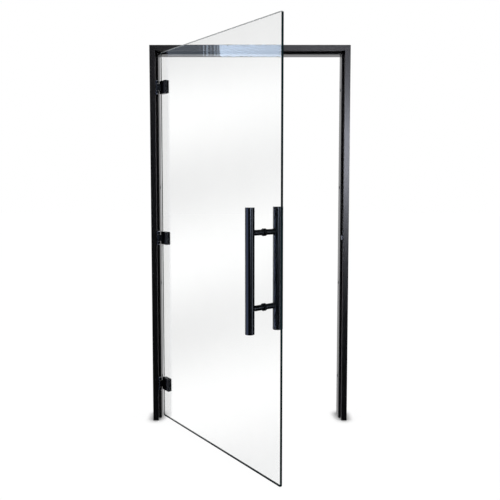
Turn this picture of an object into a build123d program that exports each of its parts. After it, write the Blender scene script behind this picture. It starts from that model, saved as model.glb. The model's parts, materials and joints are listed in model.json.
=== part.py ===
from build123d import *
import os
from math import cos, radians, sin, sqrt

# A clear glass door leaf on three clamp hinges in a three-sided aluminium frame.
# Millimetres. The origin is on the floor, mid-width, in the plane of the frame's front face.
# X runs right, Y runs back through the frame, Z runs up. The leaf stands open towards the front.

# Frame
FRAME_WIDTH = 990.0
FRAME_HEIGHT = 1890.0
FRAME_DEPTH = 110.0
FACE_WIDTH = 28.0
REBATE_DEPTH = 42.0
STOP_WIDTH = 10.0
SECTION_WALL = 2.0
SECTION_RADIUS = 1.2
MITRE_GAP = 0.1

# Corner cleats and wall fixings
CLEAT_ARM = 90.0
CLEAT_THICKNESS = 14.0
CLEAT_RADIUS = 6.0
CLEAT_FIT = 0.2
CLEAT_SCREW_RADIUS = 2.5
CLEAT_SCREW_HEAD_RADIUS = 4.4
CLEAT_SCREW_LENGTH = 14.0
CLEAT_SCREW_FROM_END = 28.0
FIXING_COUNT = 4
FIXING_FROM_END = 210.0
FIXING_FROM_BACK = 34.0
FIXING_HOLE_RADIUS = 3.5
FIXING_ACCESS_RADIUS = 6.0
PLUG_FLANGE_RADIUS = 7.5
PLUG_FLANGE_HEIGHT = 1.2
PLUG_LENGTH = 5.0
PLUG_WALL = 1.2
PLUG_FIT = 0.1

# Seal and the groove that holds it
GROOVE_MOUTH = 3.0
GROOVE_WIDTH = 5.4
GROOVE_LIP = 1.6
GROOVE_DEPTH = 4.5
SEAL_WIDTH = 7.2
SEAL_WALL = 1.0
SEAL_FIT = 0.15
SEAL_TO_GLASS = 0.8

# Glass
GLASS_THICKNESS = 10.0
GLASS_CORNER_RADIUS = 5.0
GLASS_ARRIS = 0.8
HINGE_EDGE_GAP = 5.0
STRIKE_EDGE_GAP = 5.0
TOP_EDGE_GAP = 5.0
FLOOR_GAP = 20.0
STOP_TO_GLASS = 10.0
OPEN_ANGLE = 52.6

# Hinges
HINGE_HEIGHT = 64.0
HINGE_FROM_GLASS_END = 173.5
KNUCKLE_RADIUS = 7.5
KNUCKLE_CLEARANCE = 0.5
KNUCKLE_TO_PLATE = 5.5
MIDDLE_KNUCKLE_LENGTH = 32.0
BRACKET_THICKNESS = 2.5
BRACKET_FRONT = 1.0
BRACKET_WEB = 14.0
BRACKET_SCREW_RADIUS = 2.5
BRACKET_SCREW_HEAD_RADIUS = 4.8
BRACKET_SCREW_PITCH = 36.0
NUT_PLATE_THICKNESS = 4.0
NUT_PLATE_WIDTH = 16.0
NUT_PLATE_HEIGHT = 56.0
SCREW_FIT = 0.1
SCREW_SOCKET_SHARE = 0.8
PIN_RADIUS = 4.0
PIN_HEAD_RADIUS = 6.0
PIN_HEAD_HEIGHT = 2.0
PIN_HEAD_ROUND = 1.2
PRESS_FIT = 0.02
RUNNING_FIT = 0.05
AXIAL_FIT = 0.1
BUSH_WALL = 1.5
BUSH_LENGTH = 12.0
BUSH_FLANGE_RADIUS = 6.8
BUSH_FLANGE_HEIGHT = 1.0
OUTER_PLATE_THICKNESS = 8.0
OUTER_PLATE_START = -4.0
INNER_PLATE_THICKNESS = 6.0
INNER_PLATE_CLEARANCE = 2.5
PLATE_REACH = 56.0
PLATE_CORNER_RADIUS = 3.0
PLATE_CHAMFER = 1.0
WEB_REACH = 14.0
PAD_THICKNESS = 1.0
CLAMP_SCREW_RADIUS = 3.0
CLAMP_SCREW_HEAD_RADIUS = 5.8
CLAMP_SCREW_BITE = 4.5
CLAMP_SCREW_TIP_GAP = 0.5
CLAMP_SCREW_FROM_END = 24.0
CLAMP_SCREW_PITCH = 36.0
CLAMP_HOLE_RADIUS = 7.0
SLEEVE_FIT = 0.15

# Pull handle, back to back through the glass
HANDLE_HEIGHT = 870.0
HANDLE_BACKSET = 108.0
BAR_LENGTH = 500.0
BAR_RADIUS = 19.0
BAR_WALL = 2.0
BAR_STANDOFF = 68.0
CAP_THICKNESS = 3.0
CAP_ROUND = 1.0
CAP_SPIGOT = 8.0
CAP_FIT = 0.1
POST_PITCH = 300.0
POST_RADIUS = 11.5
POST_FIT = 0.05
ROSETTE_RADIUS = 15.5
ROSETTE_HEIGHT = 3.0
ROSETTE_CHAMFER = 1.0
WASHER_RADIUS = 14.5
WASHER_HEIGHT = 1.0
STUD_RADIUS = 4.0
STUD_BITE = 25.0
STUD_TIP_GAP = 1.0
STUD_FIT = 0.1
HANDLE_HOLE_RADIUS = 6.0

# Roller catch in the strike jamb
ROLLER_RADIUS = 7.0
ROLLER_LENGTH = 20.0
ROLLER_PROJECTION = 8.0
ROLLER_TO_GLASS = 0.3
ROLLER_PIN_RADIUS = 2.0
FORK_ARM = 3.0
FORK_SHOULDER = 2.0
FORK_WIDTH = 12.0
FORK_NOSE = 4.0
FORK_BACK = 4.5
FORK_FIT = 0.3
CASE_WALL = 1.5
CASE_BACK_GAP = 4.0
CASE_CUTOUT_FIT = 0.3
CATCH_PLATE_HEIGHT = 80.0
CATCH_PLATE_WIDTH = 22.0
CATCH_PLATE_THICKNESS = 1.5
CATCH_SCREW_RADIUS = 2.0
CATCH_SCREW_HEAD_RADIUS = 3.4
CATCH_SCREW_PITCH = 62.0
CATCH_SCREW_LENGTH = 9.0
SPRING_THICKNESS = 0.6
SPRING_WIDTH = 10.0
SPRING_END_GAP = 0.2

LEFT = -1
RIGHT = 1

stop_edge = FACE_WIDTH + STOP_WIDTH
reveal_x = FRAME_WIDTH / 2 - FACE_WIDTH
stop_x = FRAME_WIDTH / 2 - stop_edge
front_chamber_back = REBATE_DEPTH + GROOVE_DEPTH
rear_chamber_front = front_chamber_back + SECTION_WALL
rear_chamber_back = FRAME_DEPTH - SECTION_WALL
groove_centre = FACE_WIDTH + STOP_WIDTH / 2
fixing_depth = FRAME_DEPTH - FIXING_FROM_BACK
fixing_pitch = (FRAME_HEIGHT - 2 * FIXING_FROM_END) / (FIXING_COUNT - 1)
fixing_heights = [FIXING_FROM_END + index * fixing_pitch for index in range(FIXING_COUNT)]
cleat_depth = (rear_chamber_front + rear_chamber_back) / 2

# Depths measured from the hinge axis through the closed leaf
outer_plate_near = KNUCKLE_RADIUS + KNUCKLE_TO_PLATE
outer_plate_far = outer_plate_near + OUTER_PLATE_THICKNESS
glass_near = outer_plate_far + PAD_THICKNESS
glass_far = glass_near + GLASS_THICKNESS
inner_plate_near = glass_far + PAD_THICKNESS
inner_plate_far = inner_plate_near + INNER_PLATE_THICKNESS
stop_distance = glass_far + STOP_TO_GLASS

pivot_gap = BRACKET_THICKNESS + KNUCKLE_CLEARANCE + KNUCKLE_RADIUS
pivot_x = pivot_gap - reveal_x
pivot_y = REBATE_DEPTH - stop_distance
glass_hinge_edge = HINGE_EDGE_GAP - pivot_gap
glass_strike_edge = reveal_x - STRIKE_EDGE_GAP - pivot_x
glass_top = FRAME_HEIGHT - FACE_WIDTH - TOP_EDGE_GAP
glass_centre_height = (FLOOR_GAP + glass_top) / 2
hinge_centres = {
    "lower": FLOOR_GAP + HINGE_FROM_GLASS_END,
    "middle": glass_centre_height,
    "upper": glass_top - HINGE_FROM_GLASS_END,
}

knuckle_gap = BUSH_FLANGE_HEIGHT + AXIAL_FIT
eye_length = (HINGE_HEIGHT - MIDDLE_KNUCKLE_LENGTH) / 2 - knuckle_gap
bush_bore = PIN_RADIUS + RUNNING_FIT
bush_radius = bush_bore + BUSH_WALL
bracket_depth = glass_far - BRACKET_FRONT
bracket_screw_depth = (BRACKET_WEB + BRACKET_FRONT + bracket_depth) / 2
inner_plate_start = STOP_WIDTH + INNER_PLATE_CLEARANCE - pivot_gap
clamp_screw_reach = PLATE_REACH - CLAMP_SCREW_FROM_END
clamp_screw_offsets = [-CLAMP_SCREW_PITCH / 2, CLAMP_SCREW_PITCH / 2]

handle_reach = glass_strike_edge - HANDLE_BACKSET
outer_bar_depth = glass_near - BAR_STANDOFF
inner_bar_depth = glass_far + BAR_STANDOFF
rosette_stack = WASHER_HEIGHT + ROSETTE_HEIGHT
stud_bore = STUD_RADIUS + STUD_FIT
handle_points = [
    (handle_reach, HANDLE_HEIGHT - POST_PITCH / 2),
    (handle_reach, HANDLE_HEIGHT + POST_PITCH / 2),
]

# The roller's axis lies behind the reveal by roller_inset and holds the glass by its outer arris
roller_inset = ROLLER_RADIUS - ROLLER_PROJECTION
roller_reach = STRIKE_EDGE_GAP + roller_inset + GLASS_ARRIS
roller_depth = pivot_y + glass_near - sqrt((ROLLER_RADIUS + ROLLER_TO_GLASS) ** 2 - roller_reach**2)
catch_height = glass_centre_height
arm_inner = ROLLER_LENGTH / 2 + FORK_FIT
arm_outer = arm_inner + FORK_ARM
shoulder_outer = arm_outer + FORK_SHOULDER
fork_base = roller_inset + ROLLER_RADIUS + FORK_FIT
fork_back = fork_base + FORK_BACK
case_depth = FACE_WIDTH - SECTION_WALL - CASE_BACK_GAP
case_half_height = shoulder_outer + FORK_FIT + CASE_WALL
case_half_width = ROLLER_RADIUS + FORK_FIT + CASE_WALL

open_radians = radians(OPEN_ANGLE)
leaf_direction = (cos(open_radians), -sin(open_radians), 0)
leaf_outward = (-sin(open_radians), -cos(open_radians), 0)
outward_axis = Axis((0, 0, 0), leaf_outward)


def frame_plan(height):
    """Level plane on the hinge axis, square to the frame."""
    return Plane(origin=(pivot_x, pivot_y, height))


def leaf_plan(height):
    """Level plane on the hinge axis: x along the leaf, y through it towards its inner side."""
    return Plane(origin=(pivot_x, pivot_y, height), x_dir=leaf_direction, z_dir=(0, 0, 1))


def leaf_face(depth, height):
    """Upright plane along the leaf: x from the hinge axis, y up, z out of the leaf's outer side."""
    origin = leaf_plan(height).from_local_coords((0, depth, 0))
    return Plane(origin=origin, x_dir=leaf_direction, z_dir=leaf_outward)


def side_plane(x, facing):
    """Upright plane across the frame, facing left or right: local x is depth times facing."""
    return Plane(origin=(x, 0, 0), x_dir=(0, facing, 0), z_dir=(facing, 0, 0))


def jamb_plane(side):
    """Section plane of a jamb at the floor: x from the outer side to the opening, y back."""
    return Plane(origin=(side * FRAME_WIDTH / 2, 0, 0), x_dir=(-side, 0, 0), z_dir=(0, 0, -side))


def head_plane():
    """Section plane of the head at mid-width: x down from the top, y back."""
    return Plane(origin=(0, 0, FRAME_HEIGHT), x_dir=(0, 0, -1), z_dir=(1, 0, 0))


def mitre_plane(side):
    """Plane of a top corner's mitre, facing the head."""
    return Plane(origin=(side * FRAME_WIDTH / 2, 0, FRAME_HEIGHT), z_dir=(-side, 0, 1))


def save(piece, name):
    """Write one finished piece to its own STEP file."""
    piece.part.label = name
    export_step(piece.part, f"parts/{name}.step")


os.makedirs("parts", exist_ok=True)

# The extruded section: two chambers, a rebate, a stop and the seal's groove in the stop's front
with BuildSketch() as frame_section:
    with BuildLine():
        FilletPolyline(
            (0, 0),
            (FACE_WIDTH, 0),
            (FACE_WIDTH, REBATE_DEPTH),
            (stop_edge, REBATE_DEPTH),
            (stop_edge, FRAME_DEPTH),
            (0, FRAME_DEPTH),
            radius=SECTION_RADIUS,
            close=True,
        )
    make_face()
    with Locations((SECTION_WALL, SECTION_WALL)):
        Rectangle(
            FACE_WIDTH - 2 * SECTION_WALL,
            front_chamber_back - SECTION_WALL,
            align=Align.MIN,
            mode=Mode.SUBTRACT,
        )
    with Locations((SECTION_WALL, rear_chamber_front)):
        Rectangle(
            stop_edge - 2 * SECTION_WALL,
            rear_chamber_back - rear_chamber_front,
            align=Align.MIN,
            mode=Mode.SUBTRACT,
        )
    with Locations((groove_centre, REBATE_DEPTH)):
        Rectangle(GROOVE_MOUTH, GROOVE_LIP, align=(Align.CENTER, Align.MIN), mode=Mode.SUBTRACT)
    with Locations((groove_centre, REBATE_DEPTH + GROOVE_LIP)):
        Rectangle(
            GROOVE_WIDTH,
            GROOVE_DEPTH - GROOVE_LIP,
            align=(Align.CENTER, Align.MIN),
            mode=Mode.SUBTRACT,
        )

# The seal: a hollow bulb that faces the glass, a neck and a barb in the groove
bulb_radius = SEAL_WIDTH / 2
bulb_tip = REBATE_DEPTH - STOP_TO_GLASS + SEAL_TO_GLASS
bulb_centre = bulb_tip + bulb_radius
with BuildSketch() as seal_section:
    with Locations((groove_centre, bulb_centre)):
        Circle(bulb_radius)
        Rectangle(SEAL_WIDTH, REBATE_DEPTH - bulb_centre, align=(Align.CENTER, Align.MIN))
        Circle(bulb_radius - SEAL_WALL, mode=Mode.SUBTRACT)
        Rectangle(
            SEAL_WIDTH - 2 * SEAL_WALL,
            REBATE_DEPTH - bulb_centre - SEAL_WALL,
            align=(Align.CENTER, Align.MIN),
            mode=Mode.SUBTRACT,
        )
    with Locations((groove_centre, REBATE_DEPTH)):
        Rectangle(
            GROOVE_MOUTH - 2 * SEAL_FIT,
            GROOVE_DEPTH - SEAL_FIT,
            align=(Align.CENTER, Align.MIN),
        )
    with Locations((groove_centre, REBATE_DEPTH + GROOVE_LIP + SEAL_FIT)):
        Rectangle(
            GROOVE_WIDTH - 2 * SEAL_FIT,
            GROOVE_DEPTH - GROOVE_LIP - 2 * SEAL_FIT,
            align=(Align.CENTER, Align.MIN),
        )


def upright_length(section, side):
    """A length of a section along one jamb, cut to the mitre."""
    with BuildPart() as length:
        with BuildSketch(jamb_plane(side)):
            add(section.sketch)
        extrude(amount=-side * FRAME_HEIGHT)
        split(bisect_by=mitre_plane(side).offset(-MITRE_GAP / 2), keep=Keep.BOTTOM)
    return length


def head_length(section):
    """A length of a section along the head, cut to both mitres."""
    with BuildPart() as length:
        with BuildSketch(head_plane()):
            add(section.sketch)
        extrude(amount=FRAME_WIDTH / 2, both=True)
        for side in (LEFT, RIGHT):
            split(bisect_by=mitre_plane(side).offset(MITRE_GAP / 2), keep=Keep.TOP)
    return length


def drilled_jamb(side):
    """A jamb with its wall-screw holes and the cleat's screw hole."""
    with BuildPart() as jamb:
        add(upright_length(frame_section, side).part)
        with BuildSketch(side_plane(side * stop_x, -side)):
            with Locations(*[(-side * fixing_depth, height) for height in fixing_heights]):
                Circle(FIXING_ACCESS_RADIUS)
        extrude(amount=-SECTION_WALL, mode=Mode.SUBTRACT)
        with BuildSketch(side_plane(side * FRAME_WIDTH / 2, side)):
            with Locations(*[(side * fixing_depth, height) for height in fixing_heights]):
                Circle(FIXING_HOLE_RADIUS)
        extrude(amount=-SECTION_WALL, mode=Mode.SUBTRACT)
        with Locations(side_plane(side * FRAME_WIDTH / 2, side)):
            with Locations((side * cleat_depth, FRAME_HEIGHT - CLEAT_ARM + CLEAT_SCREW_FROM_END)):
                CounterSinkHole(
                    CLEAT_SCREW_RADIUS + SCREW_FIT,
                    CLEAT_SCREW_HEAD_RADIUS + SCREW_FIT,
                    depth=SECTION_WALL,
                    counter_sink_angle=90,
                )
    return jamb


# Hinge jamb, drilled for the hinge brackets
bracket_screw_points = [
    (pivot_y + bracket_screw_depth, centre + offset)
    for centre in hinge_centres.values()
    for offset in (-BRACKET_SCREW_PITCH / 2, BRACKET_SCREW_PITCH / 2)
]
with BuildPart() as hinge_jamb:
    add(drilled_jamb(LEFT).part)
    with BuildSketch(side_plane(-reveal_x, RIGHT)):
        with Locations(*bracket_screw_points):
            Circle(BRACKET_SCREW_RADIUS + SCREW_FIT)
    extrude(amount=-SECTION_WALL, mode=Mode.SUBTRACT)
save(hinge_jamb, "hinge_jamb")

# Strike jamb, cut out for the catch's case and drilled for its screws
catch_screw_points = [
    (-roller_depth, catch_height - CATCH_SCREW_PITCH / 2),
    (-roller_depth, catch_height + CATCH_SCREW_PITCH / 2),
]
with BuildPart() as strike_jamb:
    add(drilled_jamb(RIGHT).part)
    with BuildSketch(side_plane(reveal_x, LEFT)):
        with Locations((-roller_depth, catch_height)):
            Rectangle(2 * (case_half_width + CASE_CUTOUT_FIT), 2 * (case_half_height + CASE_CUTOUT_FIT))
        with Locations(*catch_screw_points):
            Circle(CATCH_SCREW_RADIUS + SCREW_FIT)
    extrude(amount=-SECTION_WALL, mode=Mode.SUBTRACT)
save(strike_jamb, "strike_jamb")

# Head rail, with a screw hole for each cleat
cleat_head_points = [
    (cleat_depth, side * (FRAME_WIDTH / 2 - CLEAT_ARM + CLEAT_SCREW_FROM_END)) for side in (LEFT, RIGHT)
]
head_top = Plane(origin=(0, 0, FRAME_HEIGHT), x_dir=(0, 1, 0), z_dir=(0, 0, 1))
with BuildPart() as head_rail:
    add(head_length(frame_section).part)
    with Locations(head_top):
        with Locations(*[(depth, -x) for depth, x in cleat_head_points]):
            CounterSinkHole(
                CLEAT_SCREW_RADIUS + SCREW_FIT,
                CLEAT_SCREW_HEAD_RADIUS + SCREW_FIT,
                depth=SECTION_WALL,
                counter_sink_angle=90,
            )
save(head_rail, "head_rail")

save(upright_length(seal_section, LEFT), "hinge_side_seal")
save(upright_length(seal_section, RIGHT), "strike_side_seal")
save(head_length(seal_section), "head_seal")

# Corner cleats in the rear chambers, each an L with a rounded inner corner
cleat_outer = SECTION_WALL + CLEAT_FIT
cleat_inner = cleat_outer + CLEAT_THICKNESS
cleat_width = rear_chamber_back - rear_chamber_front - 2 * CLEAT_FIT
cleat_hole = CLEAT_SCREW_RADIUS + SCREW_FIT


def corner_cleat(side):
    """One cleat, drawn from the frame's top corner inwards and downwards."""
    corner = (side * FRAME_WIDTH / 2, cleat_depth, FRAME_HEIGHT)
    with BuildPart() as cleat:
        with BuildSketch(Plane(origin=corner, x_dir=(-side, 0, 0), z_dir=(0, side, 0))):
            with BuildLine():
                Polyline(
                    (cleat_outer, -cleat_outer),
                    (CLEAT_ARM, -cleat_outer),
                    (CLEAT_ARM, -cleat_inner),
                    (cleat_inner, -cleat_inner),
                    (cleat_inner, -CLEAT_ARM),
                    (cleat_outer, -CLEAT_ARM),
                    close=True,
                )
            make_face()
            fillet(vertices().sort_by_distance((cleat_inner, -cleat_inner))[0], radius=CLEAT_RADIUS)
        extrude(amount=cleat_width / 2, both=True)
        with BuildSketch(side_plane(side * (FRAME_WIDTH / 2 - cleat_outer), side)):
            with Locations((side * cleat_depth, FRAME_HEIGHT - CLEAT_ARM + CLEAT_SCREW_FROM_END)):
                Circle(cleat_hole)
        extrude(amount=-CLEAT_THICKNESS, mode=Mode.SUBTRACT)
        with BuildSketch(head_top.offset(-cleat_outer)):
            with Locations((cleat_depth, -side * (FRAME_WIDTH / 2 - CLEAT_ARM + CLEAT_SCREW_FROM_END))):
                Circle(cleat_hole)
        extrude(amount=-CLEAT_THICKNESS, mode=Mode.SUBTRACT)
    return cleat


save(corner_cleat(LEFT), "left_corner_cleat")
save(corner_cleat(RIGHT), "right_corner_cleat")


def countersunk_screw(plane, points, radius, head_radius, length):
    """Screws with flush heads at points of a plane, pointing into it, each with a hexagon socket."""
    head_height = head_radius - radius
    with BuildPart() as screws:
        with Locations(plane):
            with Locations(*points):
                Cylinder(radius, length, align=(Align.CENTER, Align.CENTER, Align.MAX))
                Cone(radius, head_radius, head_height, align=(Align.CENTER, Align.CENTER, Align.MAX))
        with BuildSketch(plane):
            with Locations(*points):
                RegularPolygon(SCREW_SOCKET_SHARE * radius, 6)
        extrude(amount=-SCREW_SOCKET_SHARE * head_height, mode=Mode.SUBTRACT)
    return screws.part


with BuildPart() as corner_cleat_screws:
    for side in (LEFT, RIGHT):
        add(
            countersunk_screw(
                side_plane(side * FRAME_WIDTH / 2, side),
                [(side * cleat_depth, FRAME_HEIGHT - CLEAT_ARM + CLEAT_SCREW_FROM_END)],
                CLEAT_SCREW_RADIUS,
                CLEAT_SCREW_HEAD_RADIUS,
                CLEAT_SCREW_LENGTH,
            )
        )
    add(
        countersunk_screw(
            head_top,
            [(depth, -x) for depth, x in cleat_head_points],
            CLEAT_SCREW_RADIUS,
            CLEAT_SCREW_HEAD_RADIUS,
            CLEAT_SCREW_LENGTH,
        )
    )
save(corner_cleat_screws, "corner_cleat_screws")


def hole_plugs(side):
    """Cup-shaped plugs in one jamb's access holes."""
    face = side_plane(side * stop_x, -side)
    points = [(-side * fixing_depth, height) for height in fixing_heights]
    plug_radius = FIXING_ACCESS_RADIUS - PLUG_FIT
    with BuildPart() as plugs:
        with BuildSketch(face):
            with Locations(*points):
                Circle(PLUG_FLANGE_RADIUS)
        extrude(amount=PLUG_FLANGE_HEIGHT, taper=30)
        with BuildSketch(face):
            with Locations(*points):
                Circle(plug_radius)
                Circle(plug_radius - PLUG_WALL, mode=Mode.SUBTRACT)
        extrude(amount=-PLUG_LENGTH)
    return plugs


save(hole_plugs(LEFT), "hinge_jamb_hole_plugs")
save(hole_plugs(RIGHT), "strike_jamb_hole_plugs")


def hinge_bracket(centre):
    """Fixed half of a hinge: a plate on the reveal with a knuckle at each end."""
    bottom = centre - HINGE_HEIGHT / 2
    upper_eye = centre + HINGE_HEIGHT / 2 - eye_length
    with BuildPart() as bracket:
        with BuildSketch(frame_plan(bottom)):
            with Locations((-pivot_gap, BRACKET_FRONT)):
                Rectangle(BRACKET_THICKNESS, bracket_depth, align=Align.MIN)
        extrude(amount=HINGE_HEIGHT)
        with BuildSketch(frame_plan(bottom), frame_plan(upper_eye)):
            with BuildLine():
                Polyline(
                    (-pivot_gap, BRACKET_FRONT),
                    (-pivot_gap, BRACKET_WEB),
                    (BRACKET_THICKNESS - pivot_gap, BRACKET_WEB),
                    (0, KNUCKLE_RADIUS),
                    (0, -KNUCKLE_RADIUS),
                    close=True,
                )
            make_face()
            Circle(KNUCKLE_RADIUS)
        extrude(amount=eye_length)
        with BuildSketch(frame_plan(bottom)):
            Circle(PIN_RADIUS + PRESS_FIT)
        extrude(amount=HINGE_HEIGHT, mode=Mode.SUBTRACT)
        with Locations(side_plane(BRACKET_THICKNESS - reveal_x, RIGHT)):
            with Locations(
                (pivot_y + bracket_screw_depth, centre - BRACKET_SCREW_PITCH / 2),
                (pivot_y + bracket_screw_depth, centre + BRACKET_SCREW_PITCH / 2),
            ):
                CounterSinkHole(
                    BRACKET_SCREW_RADIUS + SCREW_FIT,
                    BRACKET_SCREW_HEAD_RADIUS + SCREW_FIT,
                    depth=BRACKET_THICKNESS,
                    counter_sink_angle=90,
                )
    return bracket


def hinge_pin(centre):
    """Pin through a hinge's knuckles, with a low round head at each end."""
    with BuildPart() as pin:
        with BuildSketch(frame_plan(centre)):
            Circle(PIN_RADIUS)
        extrude(amount=HINGE_HEIGHT / 2, both=True)
        for end in (-1, 1):
            with BuildSketch(frame_plan(centre + end * HINGE_HEIGHT / 2)):
                Circle(PIN_HEAD_RADIUS)
            extrude(amount=end * PIN_HEAD_HEIGHT)
        rims = pin.edges().filter_by(GeomType.CIRCLE).sort_by(Axis.Z)
        fillet([rims[0], rims[-1]], radius=PIN_HEAD_ROUND)
    return pin


def outer_plate(centre):
    """Outer clamp plate of a hinge, with the middle knuckle on its neck."""
    with BuildPart() as plate:
        with BuildSketch(leaf_face(outer_plate_far, centre)):
            with Locations(((OUTER_PLATE_START + PLATE_REACH) / 2, 0)):
                RectangleRounded(PLATE_REACH - OUTER_PLATE_START, HINGE_HEIGHT, PLATE_CORNER_RADIUS)
        extrude(amount=OUTER_PLATE_THICKNESS)
        chamfer(plate.faces().sort_by(outward_axis)[-1].edges(), length=PLATE_CHAMFER)
        with BuildSketch(leaf_plan(centre)):
            Circle(KNUCKLE_RADIUS)
            with BuildLine():
                Polyline(
                    (-KNUCKLE_RADIUS * 0.6, KNUCKLE_RADIUS * 0.8),
                    (OUTER_PLATE_START, outer_plate_far),
                    (OUTER_PLATE_START + WEB_REACH, outer_plate_far),
                    (OUTER_PLATE_START + WEB_REACH, outer_plate_near),
                    (KNUCKLE_RADIUS, 0),
                    close=True,
                )
            make_face()
            Circle(bush_radius + PRESS_FIT, mode=Mode.SUBTRACT)
        extrude(amount=MIDDLE_KNUCKLE_LENGTH / 2, both=True)
        with Locations(leaf_face(outer_plate_near, centre)):
            with Locations(*[(clamp_screw_reach, offset) for offset in clamp_screw_offsets]):
                CounterSinkHole(
                    CLAMP_SCREW_RADIUS + SCREW_FIT,
                    CLAMP_SCREW_HEAD_RADIUS + SCREW_FIT,
                    depth=OUTER_PLATE_THICKNESS,
                    counter_sink_angle=90,
                )
    return plate


def inner_plate(centre):
    """Inner clamp plate of a hinge, tapped for the clamp screws."""
    with BuildPart() as plate:
        with BuildSketch(leaf_face(inner_plate_near, centre)):
            with Locations(((inner_plate_start + PLATE_REACH) / 2, 0)):
                RectangleRounded(PLATE_REACH - inner_plate_start, HINGE_HEIGHT, PLATE_CORNER_RADIUS)
        extrude(amount=-INNER_PLATE_THICKNESS)
        chamfer(plate.faces().sort_by(outward_axis)[0].edges(), length=PLATE_CHAMFER)
        with BuildSketch(leaf_face(inner_plate_near, centre)):
            with Locations(*[(clamp_screw_reach, offset) for offset in clamp_screw_offsets]):
                Circle(CLAMP_SCREW_RADIUS + SCREW_FIT)
        extrude(amount=-CLAMP_SCREW_BITE - CLAMP_SCREW_TIP_GAP, mode=Mode.SUBTRACT)
    return plate


def glass_pad(centre, depth, start):
    """Thin pad between a clamp plate and the glass."""
    with BuildPart() as pad:
        with BuildSketch(leaf_face(depth + PAD_THICKNESS, centre)):
            with Locations(((start + PLATE_REACH) / 2, 0)):
                RectangleRounded(PLATE_REACH - start, HINGE_HEIGHT, PLATE_CORNER_RADIUS)
            with Locations(*[(clamp_screw_reach, offset) for offset in clamp_screw_offsets]):
                Circle(CLAMP_HOLE_RADIUS, mode=Mode.SUBTRACT)
        extrude(amount=PAD_THICKNESS)
    return pad


for position, hinge_centre in hinge_centres.items():
    save(hinge_bracket(hinge_centre), f"{position}_hinge_bracket")
    save(hinge_pin(hinge_centre), f"{position}_hinge_pin")
    save(outer_plate(hinge_centre), f"{position}_hinge_outer_plate")
    save(inner_plate(hinge_centre), f"{position}_hinge_inner_plate")
    save(glass_pad(hinge_centre, outer_plate_far, OUTER_PLATE_START), f"{position}_hinge_outer_pad")
    save(glass_pad(hinge_centre, glass_far, inner_plate_start), f"{position}_hinge_inner_pad")

# Nut plates inside the hinge jamb's front chamber
with BuildPart() as hinge_nut_plates:
    with BuildSketch(side_plane(-reveal_x - SECTION_WALL, RIGHT)):
        with Locations(*[(pivot_y + bracket_screw_depth, centre) for centre in hinge_centres.values()]):
            Rectangle(NUT_PLATE_WIDTH, NUT_PLATE_HEIGHT)
        with Locations(*bracket_screw_points):
            Circle(BRACKET_SCREW_RADIUS + SCREW_FIT, mode=Mode.SUBTRACT)
    extrude(amount=-NUT_PLATE_THICKNESS)
save(hinge_nut_plates, "hinge_nut_plates")

with BuildPart() as hinge_bracket_screws:
    add(
        countersunk_screw(
            side_plane(BRACKET_THICKNESS - reveal_x, RIGHT),
            bracket_screw_points,
            BRACKET_SCREW_RADIUS,
            BRACKET_SCREW_HEAD_RADIUS,
            BRACKET_THICKNESS + SECTION_WALL + NUT_PLATE_THICKNESS,
        )
    )
save(hinge_bracket_screws, "hinge_bracket_screws")

clamp_points = [
    (clamp_screw_reach, centre + offset)
    for centre in hinge_centres.values()
    for offset in clamp_screw_offsets
]
with BuildPart() as hinge_clamp_screws:
    add(
        countersunk_screw(
            leaf_face(outer_plate_near, 0),
            clamp_points,
            CLAMP_SCREW_RADIUS,
            CLAMP_SCREW_HEAD_RADIUS,
            inner_plate_near + CLAMP_SCREW_BITE - outer_plate_near,
        )
    )
save(hinge_clamp_screws, "hinge_clamp_screws")

with BuildPart() as clamp_screw_sleeves:
    with BuildSketch(leaf_face(inner_plate_near, 0)):
        with Locations(*clamp_points):
            Circle(CLAMP_HOLE_RADIUS - SLEEVE_FIT)
            Circle(CLAMP_SCREW_RADIUS + SLEEVE_FIT, mode=Mode.SUBTRACT)
    extrude(amount=GLASS_THICKNESS + 2 * PAD_THICKNESS)
save(clamp_screw_sleeves, "clamp_screw_sleeves")

# Flanged bushes in both ends of each middle knuckle
with BuildPart() as hinge_bushes:
    for hinge_centre in hinge_centres.values():
        for end in (-1, 1):
            seat = hinge_centre + end * MIDDLE_KNUCKLE_LENGTH / 2
            with BuildSketch(leaf_plan(seat)):
                Circle(bush_radius)
                Circle(bush_bore, mode=Mode.SUBTRACT)
            extrude(amount=-end * BUSH_LENGTH)
            with BuildSketch(leaf_plan(seat)):
                Circle(BUSH_FLANGE_RADIUS)
                Circle(bush_bore, mode=Mode.SUBTRACT)
            extrude(amount=end * BUSH_FLANGE_HEIGHT)
save(hinge_bushes, "hinge_bushes")

# Glass leaf with polished arrises, drilled for the hinges and the handle
glass_width = glass_strike_edge - glass_hinge_edge
glass_height = glass_top - FLOOR_GAP
with BuildPart() as glass_panel:
    with BuildSketch(leaf_face(glass_far, glass_centre_height)):
        with Locations(((glass_hinge_edge + glass_strike_edge) / 2, 0)):
            RectangleRounded(glass_width, glass_height, GLASS_CORNER_RADIUS)
    extrude(amount=GLASS_THICKNESS)
    sides = glass_panel.faces().sort_by(outward_axis)
    chamfer(sides[0].edges() + sides[-1].edges(), length=GLASS_ARRIS)
    with BuildSketch(leaf_face(glass_far, 0)):
        with Locations(*clamp_points):
            Circle(CLAMP_HOLE_RADIUS)
        with Locations(*handle_points):
            Circle(HANDLE_HOLE_RADIUS)
    extrude(amount=GLASS_THICKNESS, mode=Mode.SUBTRACT)
save(glass_panel, "glass_panel")


def pull_bar(depth):
    """Tube of a pull handle, open at its ends for the caps."""
    with BuildPart() as bar:
        with BuildSketch(leaf_plan(HANDLE_HEIGHT)):
            with Locations((handle_reach, depth)):
                Circle(BAR_RADIUS)
                Circle(BAR_RADIUS - BAR_WALL, mode=Mode.SUBTRACT)
        extrude(amount=BAR_LENGTH / 2 - CAP_THICKNESS, both=True)
    return bar


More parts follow.
